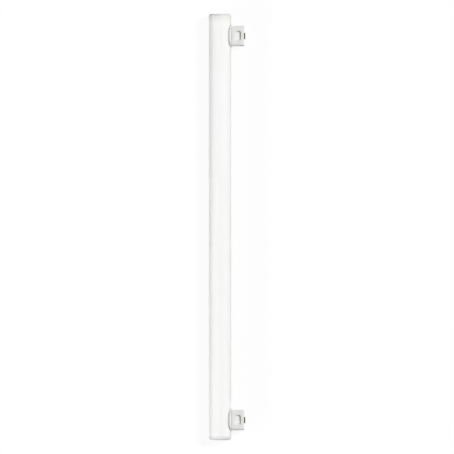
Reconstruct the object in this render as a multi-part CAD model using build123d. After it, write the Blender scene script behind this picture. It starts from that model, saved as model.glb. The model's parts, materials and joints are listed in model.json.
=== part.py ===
from build123d import *
import math
import os

# A straight opal lamp tube with two plug caps on one side of it, in millimetres.
# The lamp is drawn with its tube along Y and its caps towards +X, then laid down on the
# floor (Z = 0) as it comes to rest: on the tube and on the lower outer edge of both caps.

# Glass bulb
TUBE_LENGTH = 500.0
TUBE_DIAMETER = 26.3
TUBE_END_ROUND = 3.0
TUBE_END_CROWN = 0.3

# Distance from each end of the tube to the middle of the cap near it
UPPER_CAP_INSET = 26.0
LOWER_CAP_INSET = 23.5

# Plug block of a cap
BLOCK_LENGTH = 23.6
BLOCK_WIDTH = 14.0
BLOCK_HEIGHT = 15.45
BLOCK_CORNER_ROUND = 2.6
BLOCK_RIM_ROUND = 0.8

# Saddle flange that carries the block on the glass and thins towards its two ends
FLANGE_THICKNESS = 1.95
FLANGE_TIP_THICKNESS = 0.4
FLANGE_TAPER = 4.0
FLANGE_END_LEDGE = 1.5
FLANGE_SIDE_LEDGE = 1.9
FLANGE_CORNER_ROUND = 9.0
FLANGE_RIM_ROUND = 0.25

# Groove along the foot of the block, just above the flange
SEAM_WIDTH = 0.45
SEAM_DEPTH = 0.7

# Cavity in the block, open towards the glass
CAVITY_SIDE_WALL = 4.3
CAVITY_END_WALL = 1.8
CAVITY_FLOOR = 2.0
CAVITY_CORNER_ROUND = 1.0

# Latch pockets for the holder's springs, one in each side of the block: a long ramp on the
# glass side, a steep shoulder on the end face's side, a steep top and a gentle lower end
POCKET_LENGTH = 12.2
POCKET_WIDTH = 7.2
POCKET_DEPTH = 2.7
POCKET_SETBACK = 4.0
POCKET_RAMP = 2.5
POCKET_SHOULDER = 0.8
POCKET_TOP_SLOPE = 1.1
POCKET_LOW_SLOPE = 2.6
POCKET_CORNER_ROUND = 2.9
POCKET_FLOOR_ROUND = 1.5
POCKET_MOUTH_ROUND = 0.4

# Brass contact, a bar on two legs that sits in a groove across the block's end face
CONTACT_LENGTH = 7.1
CONTACT_WIDTH = 4.0
CONTACT_HEIGHT = 1.55
CONTACT_CORNER_ROUND = 0.3
CONTACT_RIM_ROUND = 0.15
LEG_THICKNESS = 0.7
LEG_WIDTH = 3.2
LEG_SETBACK = 0.6
LEG_CLINCH = 2.4
LEG_TAIL = 5.0
SEAT_DEPTH = 0.45
SEAT_CLEARANCE = 0.1
SLOT_CLEARANCE = 0.15

# Cement bed between the glass and the saddle
CEMENT_THICKNESS = 0.3
CEMENT_INSET = 1.0

# Lead wire from the glass to the eye in the contact's tail
WIRE_DIAMETER = 0.8
WIRE_BEND_RADIUS = 1.6
WIRE_END = 1.2
EYE_CLEARANCE = 0.15
EYE_SETBACK = 1.6

# Sizes that follow from the ones above
tube_radius = TUBE_DIAMETER / 2
saddle_radius = tube_radius + CEMENT_THICKNESS
flange_radius = saddle_radius + FLANGE_THICKNESS
face_reach = tube_radius + BLOCK_HEIGHT
cavity_reach = face_reach - CAVITY_FLOOR
seat_reach = face_reach - SEAT_DEPTH
seam_reach = math.sqrt(flange_radius**2 - (BLOCK_WIDTH / 2) ** 2)
flange_length = BLOCK_LENGTH + 2 * FLANGE_END_LEDGE
flange_half_width = BLOCK_WIDTH / 2 + FLANGE_SIDE_LEDGE
flange_half_angle = math.degrees(math.asin(flange_half_width / tube_radius))
cavity_length = BLOCK_LENGTH - 2 * CAVITY_END_WALL
cavity_width = BLOCK_WIDTH - 2 * CAVITY_SIDE_WALL
leg_offset = (CONTACT_LENGTH - LEG_THICKNESS) / 2 - LEG_SETBACK
eye_reach = cavity_reach - LEG_TAIL + EYE_SETBACK
cap_centres = {
    "upper": TUBE_LENGTH / 2 - UPPER_CAP_INSET,
    "lower": LOWER_CAP_INSET - TUBE_LENGTH / 2,
}


def bulb_tube():
    """The sealed bulb: a round tube whose ends are slightly crowned and rounded at the corner."""
    half = TUBE_LENGTH / 2
    shoulder = half - TUBE_END_CROWN
    half_crown = ThreePointArc(
        (-tube_radius, shoulder), (0, half), (tube_radius, shoulder)
    ).trim(0.5, 1)
    wall = Line((tube_radius, shoulder), (tube_radius, 0))
    middle = Polyline((tube_radius, 0), (0, 0), (0, half))
    profile = make_face([half_crown, wall, middle])
    corner = profile.vertices().sort_by_distance((tube_radius, half))[0]
    upper_half = revolve(fillet(corner, TUBE_END_ROUND), Axis.Y)
    return upper_half + mirror(upper_half, Plane.XZ)


def along_tube(radius, length):
    """A cylinder on the tube's axis."""
    return Rot(90, 0, 0) * Cylinder(radius, length)


def saddle_sector(inner_radius, outer_radius, length, half_angle, corner_round):
    """A piece of pipe wall around the tube, facing +X, with its four corners rounded."""
    sector = along_tube(outer_radius, length) - along_tube(inner_radius, length)
    reach = 2 * outer_radius
    outline = RectangleRounded(reach, length, corner_round, align=(Align.MAX, Align.CENTER))
    for side in (1, -1):
        angle = math.radians(half_angle)
        outwards = (math.cos(angle), 0, side * math.sin(angle))
        sideways = (-math.sin(angle), 0, side * math.cos(angle))
        edge_plane = Plane((0, 0, 0), x_dir=sideways, z_dir=outwards)
        sector &= extrude(edge_plane * outline, reach, both=True)
    return sector


def upright(length, width, corner_round, start, end):
    """A block with rounded upright edges, standing on the tube from one reach to another."""
    outline = Plane.YZ.offset(start) * RectangleRounded(length, width, corner_round)
    return extrude(outline, end - start)


def cap_flange():
    """The saddle flange, with its two ends thinned and its outer rim rounded over."""
    barrel = along_tube(flange_radius, flange_length)
    barrel = chamfer(
        barrel.edges().filter_by(GeomType.CIRCLE),
        FLANGE_TAPER,
        FLANGE_THICKNESS - FLANGE_TIP_THICKNESS,
        reference=barrel.faces().filter_by(GeomType.CYLINDER)[0],
    )
    flange = barrel & saddle_sector(
        saddle_radius, flange_radius, flange_length, flange_half_angle, FLANGE_CORNER_ROUND
    )
    crest = flange.faces().filter_by(GeomType.CYLINDER).sort_by(Axis.X)[-1]
    tapers = flange.faces().filter_by(GeomType.CONE)
    seams = [edge for taper in tapers for edge in taper.edges() if edge in crest.edges()]
    rim = [edge for face in [crest, *tapers] for edge in face.edges() if edge not in seams]
    return fillet(rim, FLANGE_RIM_ROUND)


def cap_block():
    """The plug block: its end rim and pocket mouths rounded, its foot shaped to stand in the flange."""
    block = upright(BLOCK_LENGTH, BLOCK_WIDTH, BLOCK_CORNER_ROUND, 0, face_reach)
    rim = block.faces().sort_by(Axis.X)[-1].edges()
    block = fillet(rim, BLOCK_RIM_ROUND)
    for side in (1, -1):
        block -= latch_pocket(side)
        wall = block.faces().filter_by(Axis.Z).sort_by(Axis.Z, reverse=side > 0)[0]
        block = fillet(wall.inner_wires()[0].edges(), POCKET_MOUTH_ROUND)
        seam = Box(SEAM_WIDTH, BLOCK_LENGTH, 2 * SEAM_DEPTH)
        block -= Pos(seam_reach + SEAM_WIDTH / 2, 0, side * BLOCK_WIDTH / 2) * seam
    return block - along_tube(saddle_radius + FLANGE_TIP_THICKNESS / 2, flange_length)


def latch_pocket(side):
    """The recess in one side of the block, narrowing from its mouth to its floor."""
    outer_edge = face_reach - POCKET_SETBACK
    floor_width = POCKET_WIDTH - POCKET_RAMP - POCKET_SHOULDER
    floor_length = POCKET_LENGTH - POCKET_TOP_SLOPE - POCKET_LOW_SLOPE
    floor_shift = side * (POCKET_LOW_SLOPE - POCKET_TOP_SLOPE) / 2
    wall = Plane((outer_edge, 0, side * BLOCK_WIDTH / 2), x_dir=(-1, 0, 0), z_dir=(0, 0, -side))
    mouth = RectangleRounded(POCKET_WIDTH, POCKET_LENGTH, POCKET_CORNER_ROUND)
    floor = RectangleRounded(floor_width, floor_length, POCKET_FLOOR_ROUND)
    return loft(
        [
            wall * Pos(POCKET_WIDTH / 2, 0) * mouth,
            wall.offset(POCKET_DEPTH) * Pos(POCKET_SHOULDER + floor_width / 2, floor_shift) * floor,
        ],
        ruled=True,
    )


def cap_body():
    """One cap moulding: flange and block, with the contact's seat and slots and the cavity cut in."""
    body = cap_flange() + cap_block()
    body -= upright(cavity_length, cavity_width, CAVITY_CORNER_ROUND, 0, cavity_reach)
    seat = Box(2 * SEAT_DEPTH, CONTACT_LENGTH + 2 * SEAT_CLEARANCE, 2 * BLOCK_WIDTH)
    body -= Pos(face_reach, 0, 0) * seat
    slot = Box(
        seat_reach - cavity_reach,
        LEG_THICKNESS + 2 * SLOT_CLEARANCE,
        LEG_WIDTH + 2 * SLOT_CLEARANCE,
    )
    for side in (1, -1):
        body -= Pos((cavity_reach + seat_reach) / 2, side * leg_offset, 0) * slot
    return body


def contact():
    """The brass piece: a bar in the seat, a clinched leg and a tail with an eye."""
    bar = upright(
        CONTACT_LENGTH, CONTACT_WIDTH, CONTACT_CORNER_ROUND, seat_reach, seat_reach + CONTACT_HEIGHT
    )
    bar = fillet(bar.faces().sort_by(Axis.X)[-1].edges(), CONTACT_RIM_ROUND)
    crown = seat_reach + LEG_THICKNESS / 2
    clinch = cavity_reach - LEG_THICKNESS / 2
    line = FilletPolyline(
        (clinch, -leg_offset - LEG_CLINCH),
        (clinch, -leg_offset),
        (crown, -leg_offset),
        (crown, leg_offset),
        (cavity_reach - LEG_TAIL, leg_offset),
        radius=SLOT_CLEARANCE + LEG_THICKNESS / 2,
    )
    section = make_face(offset(line, LEG_THICKNESS / 2, side=Side.BOTH, kind=Kind.INTERSECTION))
    legs = extrude(section, LEG_WIDTH / 2, both=True)
    eye = along_tube(WIRE_DIAMETER / 2 + EYE_CLEARANCE, 2 * LEG_THICKNESS)
    return bar + legs - Pos(eye_reach, leg_offset, 0) * eye


def cement_bed():
    """The bond line under the flange, set back from its rim and open at the cavity."""
    inset_angle = math.degrees(CEMENT_INSET / tube_radius)
    bed = saddle_sector(
        tube_radius,
        saddle_radius,
        flange_length - 2 * CEMENT_INSET,
        flange_half_angle - inset_angle,
        FLANGE_CORNER_ROUND - CEMENT_INSET,
    )
    return bed - upright(cavity_length, cavity_width, CAVITY_CORNER_ROUND, 0, cavity_reach)


def lead_wire(bulb):
    """The wire that leaves the glass, turns along the tube and passes through the eye."""
    route = FilletPolyline(
        (tube_radius - WIRE_DIAMETER, 0),
        (eye_reach, 0),
        (eye_reach, leg_offset + LEG_THICKNESS / 2 + WIRE_END),
        radius=WIRE_BEND_RADIUS,
    )
    start = Plane(route @ 0, z_dir=route % 0)
    return sweep(start * Circle(WIRE_DIAMETER / 2), path=route) - bulb


def rest_tilt():
    """How far the caps lean below level when the tube and their rounded edges touch the floor."""
    out = face_reach - BLOCK_RIM_ROUND
    down = BLOCK_WIDTH / 2 - BLOCK_RIM_ROUND
    drop = tube_radius - BLOCK_RIM_ROUND
    return math.degrees(math.asin(drop / math.hypot(out, down)) - math.atan2(down, out))


def lamp():
    """Every piece of the lamp in the drawing position, by name."""
    bulb = bulb_tube()
    pieces = {"bulb_tube": bulb}
    cap_pieces = {
        "cap_body": cap_body(),
        "contact": contact(),
        "cap_cement": cement_bed(),
        "lead_wire": lead_wire(bulb),
    }
    for place, centre in cap_centres.items():
        for name, piece in cap_pieces.items():
            pieces[f"{place}_{name}"] = Pos(0, centre, 0) * piece
    return pieces


# Laid down on the floor, with the origin under the middle of the lamp's box
laid = {name: Rot(0, rest_tilt(), 0) * piece for name, piece in lamp().items()}
extent = Compound(list(laid.values())).bounding_box()
to_floor = Pos(-extent.center().X, -extent.center().Y, -extent.min.Z)

os.makedirs("parts", exist_ok=True)
for name, piece in laid.items():
    export_step(to_floor * piece, f"parts/{name}.step")
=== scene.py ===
import json
import math

import bpy
from mathutils import Matrix, Vector


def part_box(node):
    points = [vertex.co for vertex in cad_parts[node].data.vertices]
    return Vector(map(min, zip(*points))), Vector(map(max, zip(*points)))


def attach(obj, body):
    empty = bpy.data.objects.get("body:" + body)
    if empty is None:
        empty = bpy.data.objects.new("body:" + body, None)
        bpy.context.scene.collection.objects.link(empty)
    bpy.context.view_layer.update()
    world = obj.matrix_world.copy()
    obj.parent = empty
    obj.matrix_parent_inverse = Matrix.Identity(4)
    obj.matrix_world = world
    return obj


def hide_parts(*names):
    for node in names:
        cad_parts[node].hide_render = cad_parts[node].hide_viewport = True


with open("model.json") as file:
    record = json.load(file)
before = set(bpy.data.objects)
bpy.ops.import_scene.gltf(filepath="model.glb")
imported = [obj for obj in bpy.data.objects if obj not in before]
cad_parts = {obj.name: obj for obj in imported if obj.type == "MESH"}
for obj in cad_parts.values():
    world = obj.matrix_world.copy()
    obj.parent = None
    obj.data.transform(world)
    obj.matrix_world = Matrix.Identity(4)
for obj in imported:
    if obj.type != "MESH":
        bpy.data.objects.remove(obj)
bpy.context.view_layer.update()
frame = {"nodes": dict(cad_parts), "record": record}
nodes = frame["nodes"]
mounts = {mount["name"]: mount for mount in frame["record"]["mounts"]}

MM = 0.001

# The lamp lies on the floor with its tube along Y and its caps leaning a little below level
CAP_WAY = Vector(mounts["upper_cap_face"]["axis"])
TUBE_WAY = Vector((0, 1, 0))
SIDE_WAY = CAP_WAY.cross(TUBE_WAY)

# Glass tube: the rounded corner and the crown of its ends, and the fineness of its mesh
END_ROUND = 3.0 * MM
END_CROWN = 0.3 * MM
TUBE_SEGMENTS = 192
WALL_RINGS = 48
CROWN_RINGS = 6
ROUND_RINGS = 14

# Noise values that count as low and high, because few lie outside them
NOISE_SPAN = (0.3, 0.7)

# Opal glass: faint clouds of colour, slight waves in its wall, and light that scatters inside it
OPAL_DIM = (0.925, 0.93, 0.895)
OPAL_BRIGHT = (0.945, 0.95, 0.92)
OPAL_CLOUD = 30.0 * MM
OPAL_CLOUD_STRETCH = (1, 3, 1)
OPAL_CLOUD_SPAN = (0.35, 0.65)
OPAL_HANDLING = 12.0 * MM
OPAL_ROUGHNESS = (0.34, 0.46)
OPAL_WAVE = 9.0 * MM
OPAL_WAVE_STRETCH = (1, 4, 1)
OPAL_WAVE_DEPTH = 0.02 * MM
OPAL_SPECULAR = 0.12
OPAL_SCATTER = 4.0 * MM

# Painted shade at the tube's ends: where along Y the colour starts and ends darkening, and the grey
# it
# reaches: slowly near the upper end, and in a clear edge near the lower one
UPPER_END_SHADE_SPAN = (239.0 * MM, 248.0 * MM)
UPPER_END_SHADE = (0.78, 0.78, 0.78)
LOWER_END_SHADE_SPAN = (-244.6 * MM, -246.2 * MM)
LOWER_END_SHADE = (0.79, 0.79, 0.79)

# Cap plastic: pale grey with a fine grain, and painted shade that darkens it where its corners are
# closed in
PLASTIC_DIM = (0.79, 0.79, 0.771)
PLASTIC_BRIGHT = (0.815, 0.815, 0.8)
PLASTIC_FLOW = 7.0 * MM
PLASTIC_GRAIN = 0.35 * MM
PLASTIC_GRAIN_DEPTH = 0.012 * MM
PLASTIC_ROUGHNESS = (0.34, 0.42)
PLASTIC_SPECULAR = 0.4
CORNER_PAINTED_SHADE = (0.3, 0.296, 0.28)
CORNER_REACH = 1.5 * MM
CORNER_OPENNESS = (0.45, 0.82)
CORNER_SAMPLES = 8

# Contact brass: tarnished in streaks along the bar, and worn where it faces straight out
TARNISH_DIM = (0.045, 0.048, 0.012)
TARNISH_BRIGHT = (0.09, 0.092, 0.03)
WORN_BRASS = (0.34, 0.3, 0.12)
WORN_FACING = (0.75, 0.98)
WORN_SHARE = 0.7
STREAK = 0.5 * MM
STREAK_STRETCH = (1, 8, 1)
STREAK_DEPTH = 0.01 * MM
BRASS_ROUGHNESS = (0.34, 0.5)

# Cement: dull and granular
CEMENT_DIM = (0.5, 0.49, 0.46)
CEMENT_BRIGHT = (0.68, 0.67, 0.64)
CEMENT_GRAIN = 0.4 * MM
CEMENT_GRAIN_DEPTH = 0.05 * MM
CEMENT_ROUGHNESS = 0.9

# Lead wire: tinned, with dull and bright patches
TIN_DIM = (0.55, 0.53, 0.5)
TIN_BRIGHT = (0.68, 0.66, 0.63)
TIN_PATCH = 1.2 * MM
TIN_ROUGHNESS = (0.3, 0.5)

# Camera: square to the lamp's side, far away with a long lens
LENS = 1000.0
SENSOR = 36.0
FRAME_WIDTH = 532.6 * MM
AIM_FROM_AXIS = 8.26 * MM
VIEW_DEPTH = 50.0

# Floor: its width, its colour to the light, and how much of the shadow the camera sees
FLOOR_SIZE = 16.0
FLOOR_COLOUR = (0.35, 0.35, 0.35)
FLOOR_SHADE = 0.08

# Soft lights: their place as shares of the cap, tube and side ways, their distance, their length
# along the tube and width in metres, and their level on a white surface that faces them
KEY_PLACE = (0.58, 0.28, 1.0)
KEY_DISTANCE = 12.0
KEY_SIZE = (3.0, 3.0)
KEY_LEVEL = 0.975
LOW_SIDE_PLACE = (-1.0, -0.45, 0.21)
LOW_SIDE_DISTANCE = 3.0
LOW_SIDE_SIZE = (3.0, 0.4)
LOW_SIDE_LEVEL = 0.865

# Even fill light from all around
FILL_LEVEL = 0.06

# Sockets of a mix node for colours, by number because its other kinds have the same names
MIX_AMOUNT = 0
MIX_FIRST = 6
MIX_SECOND = 7
MIX_RESULT = 2


def tube_axis():
    """Centre, radius and half length of the tube, from its node's box."""
    low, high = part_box("bulb_tube")
    centre = (Vector(low) + Vector(high)) / 2
    return centre, (high[2] - low[2]) / 2, (high[1] - low[1]) / 2


def end_profile(radius, half):
    """(radius, y) from the middle of the tube's end to the start of its straight wall."""
    crown = (radius**2 + END_CROWN**2) / (2 * END_CROWN)
    crown_y = half - crown
    round_x = radius - END_ROUND
    meet = math.asin(round_x / (crown - END_ROUND))
    round_y = crown_y + (crown - END_ROUND) * math.cos(meet)
    points = []
    for i in range(1, CROWN_RINGS + 1):
        angle = meet * i / CROWN_RINGS
        points.append((crown * math.sin(angle), crown_y + crown * math.cos(angle)))
    for i in range(1, ROUND_RINGS + 1):
        angle = meet + (math.pi / 2 - meet) * i / ROUND_RINGS
        points.append((round_x + END_ROUND * math.sin(angle), round_y + END_ROUND * math.cos(angle)))
    return points


def tube_rings(radius, half):
    """(radius, y) of every ring of the tube, from its upper end to its lower one."""
    upper = end_profile(radius, half)
    wall_end = upper[-1][1]
    wall = [(radius, wall_end * (1 - 2 * i / WALL_RINGS)) for i in range(1, WALL_RINGS)]
    lower = [(r, -y) for r, y in reversed(upper)]
    return upper + wall + lower


def tube_faces(ring_count):
    """Quads between the rings, and a fan of triangles around the middle of each end."""
    upper_middle = 0
    lower_middle = 1 + ring_count * TUBE_SEGMENTS
    last_ring = lower_middle - TUBE_SEGMENTS
    faces = []
    for s in range(TUBE_SEGMENTS):
        after = (s + 1) % TUBE_SEGMENTS
        faces.append((upper_middle, 1 + s, 1 + after))
        for ring in range(ring_count - 1):
            here = 1 + ring * TUBE_SEGMENTS
            below = here + TUBE_SEGMENTS
            faces.append((here + s, below + s, below + after, here + after))
        faces.append((lower_middle, last_ring + after, last_ring + s))
    return faces


def make_tube():
    """The glass bulb as one closed, smooth turned form."""
    centre, radius, half = tube_axis()
    rings = tube_rings(radius, half)
    verts = [centre + Vector((0, half, 0))]
    for r, y in rings:
        for s in range(TUBE_SEGMENTS):
            angle = 2 * math.pi * s / TUBE_SEGMENTS
            verts.append(centre + Vector((r * math.sin(angle), y, r * math.cos(angle))))
    verts.append(centre - Vector((0, half, 0)))
    mesh = bpy.data.meshes.new("glass_bulb")
    mesh.from_pydata(verts, [], tube_faces(len(rings)))
    mesh.polygons.foreach_set("use_smooth", [True] * len(mesh.polygons))
    tube = bpy.data.objects.new("glass_bulb", mesh)
    bpy.context.collection.objects.link(tube)
    return tube


def new_material(name):
    """A node material with its principled shader."""
    material = bpy.data.materials.new(name)
    material.use_nodes = True
    tree = material.node_tree
    return material, tree, tree.nodes["Principled BSDF"]


def add(tree, kind, inputs=None, **settings):
    """A node with its settings, and its inputs set to values or linked to sockets."""
    node = tree.nodes.new(kind)
    for name, value in settings.items():
        setattr(node, name, value)
    for name, value in (inputs or {}).items():
        if isinstance(value, bpy.types.NodeSocket):
            tree.links.new(value, node.inputs[name])
        else:
            node.inputs[name].default_value = value
    return node


def noise(tree, grain, detail=3.0, stretch=(1, 1, 1)):
    """A noise value over the object, with grains of about this size in metres."""
    place = add(tree, "ShaderNodeTexCoord").outputs["Object"]
    scale = [1 / (grain * s) for s in stretch]
    scaled = add(tree, "ShaderNodeMapping", {"Vector": place, "Scale": scale}).outputs["Vector"]
    texture = add(tree, "ShaderNodeTexNoise", {"Vector": scaled, "Scale": 1.0, "Detail": detail})
    return texture.outputs["Fac"]


def shade(tree, value, dim, bright, span=NOISE_SPAN):
    """A colour that goes from dim to bright as a value crosses a span."""
    node = add(tree, "ShaderNodeValToRGB", {"Fac": value})
    for element, position, colour in zip(node.color_ramp.elements, span, (dim, bright)):
        element.position = position
        element.color = (*colour, 1.0)
    return node.outputs["Color"]


def spread(tree, value, low, high, span=NOISE_SPAN):
    """A number that goes from low to high as a value crosses a span."""
    start, end = span
    return add(
        tree,
        "ShaderNodeMapRange",
        {"Value": value, "From Min": start, "From Max": end, "To Min": low, "To Max": high},
    ).outputs["Result"]


def blend_colour(tree, amount, first, second):
    """A colour socket, mixed with a plain colour by an amount."""
    inputs = {MIX_AMOUNT: amount, MIX_FIRST: first, MIX_SECOND: (*second, 1.0)}
    return add(tree, "ShaderNodeMix", inputs, data_type="RGBA").outputs[MIX_RESULT]


def larger(tree, first, second):
    """The larger of two values."""
    return add(tree, "ShaderNodeMath", {0: first, 1: second}, operation="MAXIMUM").outputs["Value"]


def bump(tree, shader, height, depth):
    """Surface relief of this depth in metres."""
    node = add(tree, "ShaderNodeBump", {"Height": height, "Strength": 1.0, "Distance": depth})
    tree.links.new(node.outputs["Normal"], shader.inputs["Normal"])


def opal_glass():
    """Opal white glass: light spreads inside it, its wall is very faintly uneven, and painted shade
    darkens its ends.
    """
    material, tree, shader = new_material("opal_glass")
    clouds = noise(tree, OPAL_CLOUD, stretch=OPAL_CLOUD_STRETCH)
    coated = shade(tree, clouds, OPAL_DIM, OPAL_BRIGHT, OPAL_CLOUD_SPAN)
    place = add(tree, "ShaderNodeTexCoord").outputs["Object"]
    along = add(tree, "ShaderNodeSeparateXYZ", {"Vector": place}).outputs["Y"]
    # Painted shade: the colour darkens to grey towards each end of the tube, more gradually at the
    # upper end
    upper_end_shading = spread(tree, along, 0.0, 1.0, UPPER_END_SHADE_SPAN)
    lower_end_shading = spread(tree, along, 0.0, 1.0, LOWER_END_SHADE_SPAN)
    colour = blend_colour(tree, upper_end_shading, coated, UPPER_END_SHADE)
    colour = blend_colour(tree, lower_end_shading, colour, LOWER_END_SHADE)
    tree.links.new(colour, shader.inputs["Base Color"])
    handled = noise(tree, OPAL_HANDLING, detail=5.0)
    tree.links.new(spread(tree, handled, *OPAL_ROUGHNESS), shader.inputs["Roughness"])
    waves = noise(tree, OPAL_WAVE, detail=1.0, stretch=OPAL_WAVE_STRETCH)
    bump(tree, shader, waves, OPAL_WAVE_DEPTH)
    shader.inputs["Specular IOR Level"].default_value = OPAL_SPECULAR
    shader.inputs["Subsurface Weight"].default_value = 1.0
    shader.inputs["Subsurface Radius"].default_value = (1.0, 1.0, 1.0)
    shader.inputs["Subsurface Scale"].default_value = OPAL_SCATTER
    return material


def cap_plastic():
    """Pale grey moulded plastic with a fine grain, and painted shade that darkens its corners."""
    material, tree, shader = new_material("cap_plastic")
    flow = noise(tree, PLASTIC_FLOW, detail=4.0)
    clean = shade(tree, flow, PLASTIC_DIM, PLASTIC_BRIGHT)
    openness = add(
        tree, "ShaderNodeAmbientOcclusion", {"Distance": CORNER_REACH}, samples=CORNER_SAMPLES
    ).outputs["AO"]
    # Painted shade: the colour darkens towards grey where ambient occlusion finds the surface closed
    # in
    painted_shade_amount = spread(tree, openness, 1.0, 0.0, CORNER_OPENNESS)
    colour = blend_colour(tree, painted_shade_amount, clean, CORNER_PAINTED_SHADE)
    tree.links.new(colour, shader.inputs["Base Color"])
    grain = noise(tree, PLASTIC_GRAIN, detail=2.0)
    tree.links.new(spread(tree, grain, *PLASTIC_ROUGHNESS), shader.inputs["Roughness"])
    bump(tree, shader, grain, PLASTIC_GRAIN_DEPTH)
    shader.inputs["Specular IOR Level"].default_value = PLASTIC_SPECULAR
    return material


def contact_brass():
    """Tarnished brass, drawn lengthwise and rubbed brighter on its outer face."""
    material, tree, shader = new_material("contact_brass")
    streaks = noise(tree, STREAK, stretch=STREAK_STRETCH)
    tarnish = shade(tree, streaks, TARNISH_DIM, TARNISH_BRIGHT)
    normal = add(tree, "ShaderNodeNewGeometry").outputs["Normal"]
    outwards = add(
        tree, "ShaderNodeVectorMath", {0: normal, 1: CAP_WAY}, operation="DOT_PRODUCT"
    ).outputs["Value"]
    worn = spread(tree, outwards, 0.0, WORN_SHARE, WORN_FACING)
    colour = blend_colour(tree, worn, tarnish, WORN_BRASS)
    tree.links.new(colour, shader.inputs["Base Color"])
    tree.links.new(spread(tree, streaks, *BRASS_ROUGHNESS), shader.inputs["Roughness"])
    bump(tree, shader, streaks, STREAK_DEPTH)
    shader.inputs["Metallic"].default_value = 1.0
    return material


def cap_cement():
    """Grey cement, dull and granular."""
    material, tree, shader = new_material("cap_cement")
    grains = noise(tree, CEMENT_GRAIN, detail=4.0)
    tree.links.new(shade(tree, grains, CEMENT_DIM, CEMENT_BRIGHT), shader.inputs["Base Color"])
    shader.inputs["Roughness"].default_value = CEMENT_ROUGHNESS
    bump(tree, shader, grains, CEMENT_GRAIN_DEPTH)
    return material


def lead_metal():
    """Tinned wire, with dull and bright patches."""
    material, tree, shader = new_material("lead_metal")
    patches = noise(tree, TIN_PATCH)
    tree.links.new(shade(tree, patches, TIN_DIM, TIN_BRIGHT), shader.inputs["Base Color"])
    tree.links.new(spread(tree, patches, *TIN_ROUGHNESS), shader.inputs["Roughness"])
    shader.inputs["Metallic"].default_value = 1.0
    return material


def seen_ray(tree):
    """1 for the rays that show the background: camera, glossy and transmission rays."""
    path = add(tree, "ShaderNodeLightPath").outputs
    camera_or_glossy = larger(tree, path["Is Camera Ray"], path["Is Glossy Ray"])
    return larger(tree, camera_or_glossy, path["Is Transmission Ray"])


def floor_white():
    """White floor that still takes a soft shadow."""
    material, tree, shader = new_material("floor_white")
    tree.nodes.remove(shader)
    matte = add(tree, "ShaderNodeBsdfDiffuse", {"Color": (*FLOOR_COLOUR, 1)}).outputs["BSDF"]
    shaded = add(tree, "ShaderNodeBsdfDiffuse", {"Color": (1, 1, 1, 1)}).outputs["BSDF"]
    glow = add(tree, "ShaderNodeEmission", {"Strength": 1.0}).outputs["Emission"]
    white = add(tree, "ShaderNodeMixShader", {0: FLOOR_SHADE, 1: glow, 2: shaded}).outputs["Shader"]
    mixed = add(tree, "ShaderNodeMixShader", {0: seen_ray(tree), 1: matte, 2: white})
    tree.links.new(mixed.outputs["Shader"], tree.nodes["Material Output"].inputs["Surface"])
    return material


def make_floor():
    """A wide plain floor under the lamp."""
    half = FLOOR_SIZE / 2
    corners = [(-half, -half, 0), (half, -half, 0), (half, half, 0), (-half, half, 0)]
    mesh = bpy.data.meshes.new("floor")
    mesh.from_pydata(corners, [], [(0, 1, 2, 3)])
    floor = bpy.data.objects.new("floor", mesh)
    bpy.context.collection.objects.link(floor)
    mesh.materials.append(floor_white())


def make_world():
    """White surroundings to look at, and an even fill light."""
    world = bpy.data.worlds.new("studio")
    bpy.context.scene.world = world
    world.use_nodes = True
    tree = world.node_tree
    background = tree.nodes["Background"]
    level = spread(tree, seen_ray(tree), FILL_LEVEL, 1.0, (0.0, 1.0))
    tree.links.new(level, background.inputs["Strength"])
    background.inputs["Color"].default_value = (1, 1, 1, 1)


def add_softbox(name, aim, place, distance, size, level):
    """A soft light that faces the lamp, its length along the tube."""
    out, up, side = place
    way = (out * CAP_WAY + up * TUBE_WAY + side * SIDE_WAY).normalized()
    along = (TUBE_WAY - way * TUBE_WAY.dot(way)).normalized()
    data = bpy.data.lights.new(name, "AREA")
    data.shape = "RECTANGLE"
    data.size, data.size_y = size
    data.energy = level * (math.pi * distance) ** 2
    light = bpy.data.objects.new(name, data)
    bpy.context.collection.objects.link(light)
    turn = Matrix((along, way.cross(along), way)).transposed().to_4x4()
    light.matrix_world = Matrix.Translation(aim + way * distance) @ turn
    light.visible_camera = False


def add_camera(aim):
    """A long lens square to the lamp's side, with the tube upright in the frame."""
    data = bpy.data.cameras.new("camera")
    data.lens = LENS
    data.sensor_width = SENSOR
    data.clip_end = VIEW_DEPTH
    camera = bpy.data.objects.new("camera", data)
    bpy.context.collection.objects.link(camera)
    distance = FRAME_WIDTH * LENS / SENSOR
    turn = Matrix((CAP_WAY, TUBE_WAY, SIDE_WAY)).transposed().to_4x4()
    camera.matrix_world = Matrix.Translation(aim + SIDE_WAY * distance) @ turn
    bpy.context.scene.camera = camera


def dress(piece, material):
    """One material all over a piece."""
    piece.data.materials.clear()
    piece.data.materials.append(material)


glass = make_tube()
dress(glass, opal_glass())
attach(glass, "root")
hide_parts("bulb_tube")

finishes = {
    "cap_body": cap_plastic(),
    "contact": contact_brass(),
    "cap_cement": cap_cement(),
    "lead_wire": lead_metal(),
}
for end in ("upper", "lower"):
    for part, finish in finishes.items():
        dress(nodes[f"{end}_{part}"], finish)

aim = tube_axis()[0] + CAP_WAY * AIM_FROM_AXIS
make_floor()
make_world()
add_softbox("key", aim, KEY_PLACE, KEY_DISTANCE, KEY_SIZE, KEY_LEVEL)
add_softbox("low_side", aim, LOW_SIDE_PLACE, LOW_SIDE_DISTANCE, LOW_SIDE_SIZE, LOW_SIDE_LEVEL)
add_camera(aim)
bpy.context.scene.view_settings.view_transform = "Standard"
